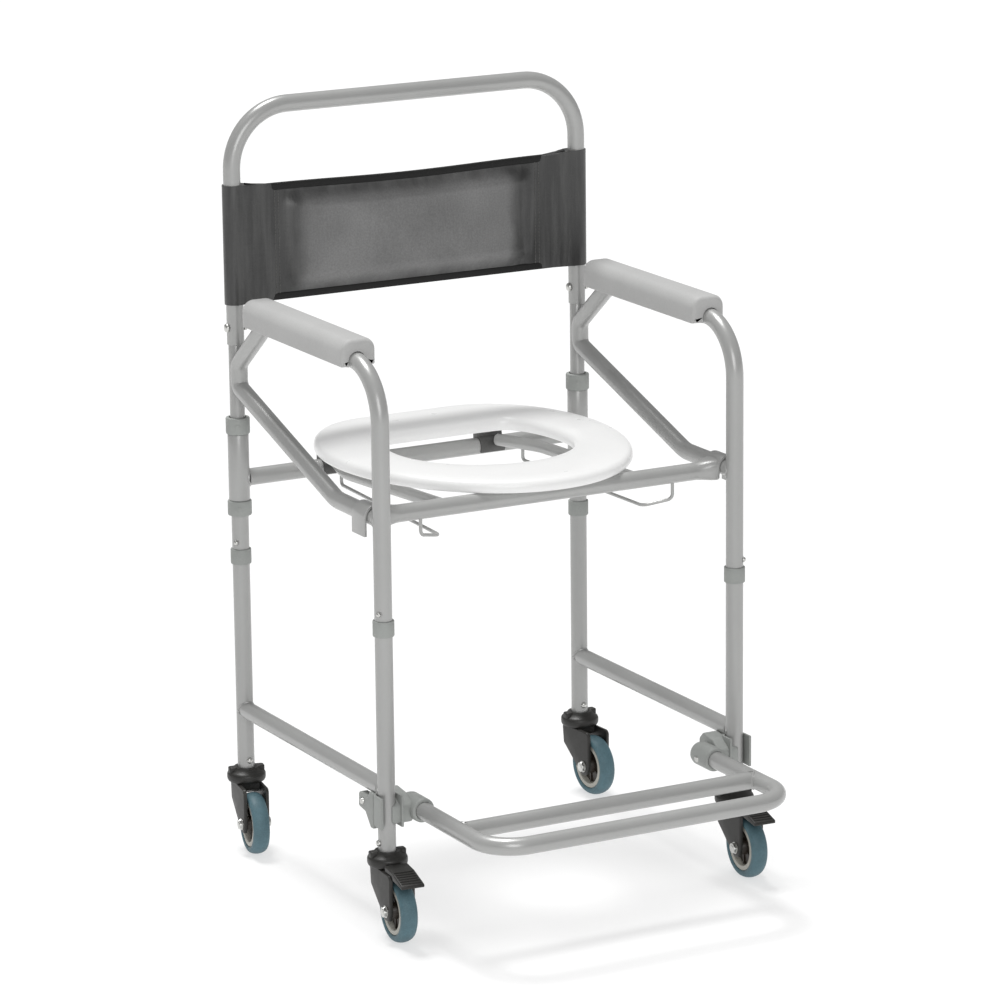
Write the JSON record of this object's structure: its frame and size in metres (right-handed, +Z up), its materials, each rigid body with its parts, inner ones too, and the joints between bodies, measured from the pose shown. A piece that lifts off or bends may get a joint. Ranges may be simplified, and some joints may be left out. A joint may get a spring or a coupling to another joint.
{
  "type": "commode chair",
  "caption": "Wheeled commode chair with a tubular frame, arm pads, a back sling, a push handle, a lift-up seat ring over pan rails, and a U-shaped footrest.",
  "frame": {"origin": "on the floor, under the middle of the chair's overall box, footrest included", "axes": "+Z up; -Y is the front, where the footrest is; +X is the sitter's left"},
  "size_m": [0.5474, 0.6386, 0.9756],
  "materials": {
    "silver_paint": "satin silver-grey powder coat",
    "grey_plastic": "moulded, fine matt grain",
    "black_plastic": "moulded, satin",
    "arm_foam": "self-skinned foam, soft satin",
    "white_plastic": "moulded, soft gloss",
    "black_vinyl": "coated fabric with a fine grain and sewn seams",
    "zinc_steel": "zinc plated",
    "castor_plastic": "moulded, satin",
    "tyre_rubber": "smooth blue-grey rubber",
    "hub_plastic": "moulded grey plastic"
  },
  "bodies": {
    "base": {"lower_leg_frame_left": "silver_paint", "footrest_socket_left": "grey_plastic", "footrest_clamp_left": "grey_plastic", "castor_cap_front_left": "castor_plastic", "castor_cap_rear_left": "castor_plastic", "lower_leg_frame_right": "silver_paint", "footrest_socket_right": "grey_plastic", "footrest_clamp_right": "grey_plastic", "castor_cap_front_right": "castor_plastic", "castor_cap_rear_right": "castor_plastic"},
    "upper_frame": {"side_loop_left": "silver_paint", "armrest_pad_left": "arm_foam", "rear_upright_left": "silver_paint", "sleeve_collar_lower_left": "grey_plastic", "sleeve_collar_upper_left": "grey_plastic", "handle_bolt_left": "zinc_steel", "leg_collar_front_left": "grey_plastic", "leg_collar_rear_left": "grey_plastic", "side_loop_right": "silver_paint", "armrest_pad_right": "arm_foam", "rear_upright_right": "silver_paint", "sleeve_collar_lower_right": "grey_plastic", "sleeve_collar_upper_right": "grey_plastic", "handle_bolt_right": "zinc_steel", "leg_collar_front_right": "grey_plastic", "leg_collar_rear_right": "grey_plastic", "rear_cross_frame": "silver_paint", "push_handle": "silver_paint", "backrest_sling": "black_vinyl"},
    "seat_frame": {"seat_side_rail_left": "silver_paint", "pan_rail_left": "silver_paint", "hinge_clip_left": "black_plastic", "seat_side_rail_right": "silver_paint", "pan_rail_right": "silver_paint", "hinge_clip_right": "black_plastic", "seat_front_bar": "silver_paint"},
    "seat_ring": {"seat_ring": "white_plastic"},
    "footrest": {"footrest_frame": "silver_paint"},
    "snap_button_front_left": {"snap_button_front_left": "zinc_steel"},
    "castor_front_left": {"castor_fork_front_left": "castor_plastic", "castor_axle_front_left": "zinc_steel"},
    "wheel_front_left": {"wheel_hub_front_left": "hub_plastic", "wheel_tyre_front_left": "tyre_rubber"},
    "brake_pedal_front_left": {"brake_pedal_front_left": "castor_plastic"},
    "snap_button_rear_left": {"snap_button_rear_left": "zinc_steel"},
    "castor_rear_left": {"castor_fork_rear_left": "castor_plastic", "castor_axle_rear_left": "zinc_steel"},
    "wheel_rear_left": {"wheel_hub_rear_left": "hub_plastic", "wheel_tyre_rear_left": "tyre_rubber"},
    "snap_button_front_right": {"snap_button_front_right": "zinc_steel"},
    "castor_front_right": {"castor_fork_front_right": "castor_plastic", "castor_axle_front_right": "zinc_steel"},
    "wheel_front_right": {"wheel_hub_front_right": "hub_plastic", "wheel_tyre_front_right": "tyre_rubber"},
    "brake_pedal_front_right": {"brake_pedal_front_right": "castor_plastic"},
    "snap_button_rear_right": {"snap_button_rear_right": "zinc_steel"},
    "castor_rear_right": {"castor_fork_rear_right": "castor_plastic", "castor_axle_rear_right": "zinc_steel"},
    "wheel_rear_right": {"wheel_hub_rear_right": "hub_plastic", "wheel_tyre_rear_right": "tyre_rubber"}
  },
  "joints": [
    {"name": "height_adjust", "type": "slide", "parent": "base", "child": "upper_frame", "axis": [0, 0, 1], "range_m": [0, 0.1]},
    {"name": "snap_button_front_left_press", "type": "slide", "parent": "upper_frame", "child": "snap_button_front_left", "axis": [-0.8192, 0.5736, 0], "range_m": [0, 0.0025], "stiffness_N_per_m": 800, "springref_m": -0.002},
    {"name": "castor_front_left_swivel", "type": "hinge", "parent": "base", "child": "castor_front_left", "pos_m": [0.247, -0.1057, 0.09], "axis": [0, 0, 1], "continuous": true},
    {"name": "wheel_front_left_spin", "type": "hinge", "parent": "castor_front_left", "child": "wheel_front_left", "pos_m": [0.24522, -0.13965, 0.04], "axis": [0.9986, -0.0523, 0], "continuous": true},
    {"name": "brake_front_left_press", "type": "hinge", "parent": "castor_front_left", "child": "brake_pedal_front_left", "pos_m": [0.24444, -0.15463, 0.0885], "axis": [0.9986, -0.0523, 0], "range_deg": [0, 8]},
    {"name": "snap_button_rear_left_press", "type": "slide", "parent": "upper_frame", "child": "snap_button_rear_left", "axis": [-0.8192, 0.5736, 0], "range_m": [0, 0.0025], "stiffness_N_per_m": 800, "springref_m": -0.002},
    {"name": "castor_rear_left_swivel", "type": "hinge", "parent": "base", "child": "castor_rear_left", "pos_m": [0.247, 0.2943, 0.09], "axis": [0, 0, 1], "continuous": true},
    {"name": "wheel_rear_left_spin", "type": "hinge", "parent": "castor_rear_left", "child": "wheel_rear_left", "pos_m": [0.24878, 0.26035, 0.04], "axis": [0.9986, 0.0523, 0], "continuous": true},
    {"name": "snap_button_front_right_press", "type": "slide", "parent": "upper_frame", "child": "snap_button_front_right", "axis": [0.8192, 0.5736, 0], "range_m": [0, 0.0025], "stiffness_N_per_m": 800, "springref_m": -0.002},
    {"name": "castor_front_right_swivel", "type": "hinge", "parent": "base", "child": "castor_front_right", "pos_m": [-0.247, -0.1057, 0.09], "axis": [0, 0, 1], "continuous": true},
    {"name": "wheel_front_right_spin", "type": "hinge", "parent": "castor_front_right", "child": "wheel_front_right", "pos_m": [-0.24996, -0.13957, 0.04], "axis": [0.9962, -0.0872, 0], "continuous": true},
    {"name": "brake_front_right_press", "type": "hinge", "parent": "castor_front_right", "child": "brake_pedal_front_right", "pos_m": [-0.25127, -0.15451, 0.0885], "axis": [0.9962, -0.0872, 0], "range_deg": [0, 8]},
    {"name": "snap_button_rear_right_press", "type": "slide", "parent": "upper_frame", "child": "snap_button_rear_right", "axis": [0.8192, 0.5736, 0], "range_m": [0, 0.0025], "stiffness_N_per_m": 800, "springref_m": -0.002},
    {"name": "castor_rear_right_swivel", "type": "hinge", "parent": "base", "child": "castor_rear_right", "pos_m": [-0.247, 0.2943, 0.09], "axis": [0, 0, 1], "continuous": true},
    {"name": "wheel_rear_right_spin", "type": "hinge", "parent": "castor_rear_right", "child": "wheel_rear_right", "pos_m": [-0.2529, 0.26082, 0.04], "axis": [0.9848, -0.1736, 0], "continuous": true},
    {"name": "seat_frame_lift", "type": "hinge", "parent": "upper_frame", "child": "seat_frame", "pos_m": [0, 0.2943, 0.4895], "axis": [-1, 0, 0], "range_deg": [0, 25]},
    {"name": "seat_ring_flip", "type": "hinge", "parent": "seat_frame", "child": "seat_ring", "pos_m": [0, 0.2993, 0.519], "axis": [1, 0, 0], "range_deg": [-75, 0]},
    {"name": "footrest_slide", "type": "slide", "parent": "base", "child": "footrest", "axis": [0, -1, 0], "range_m": [0, 0.025]}
  ]
}
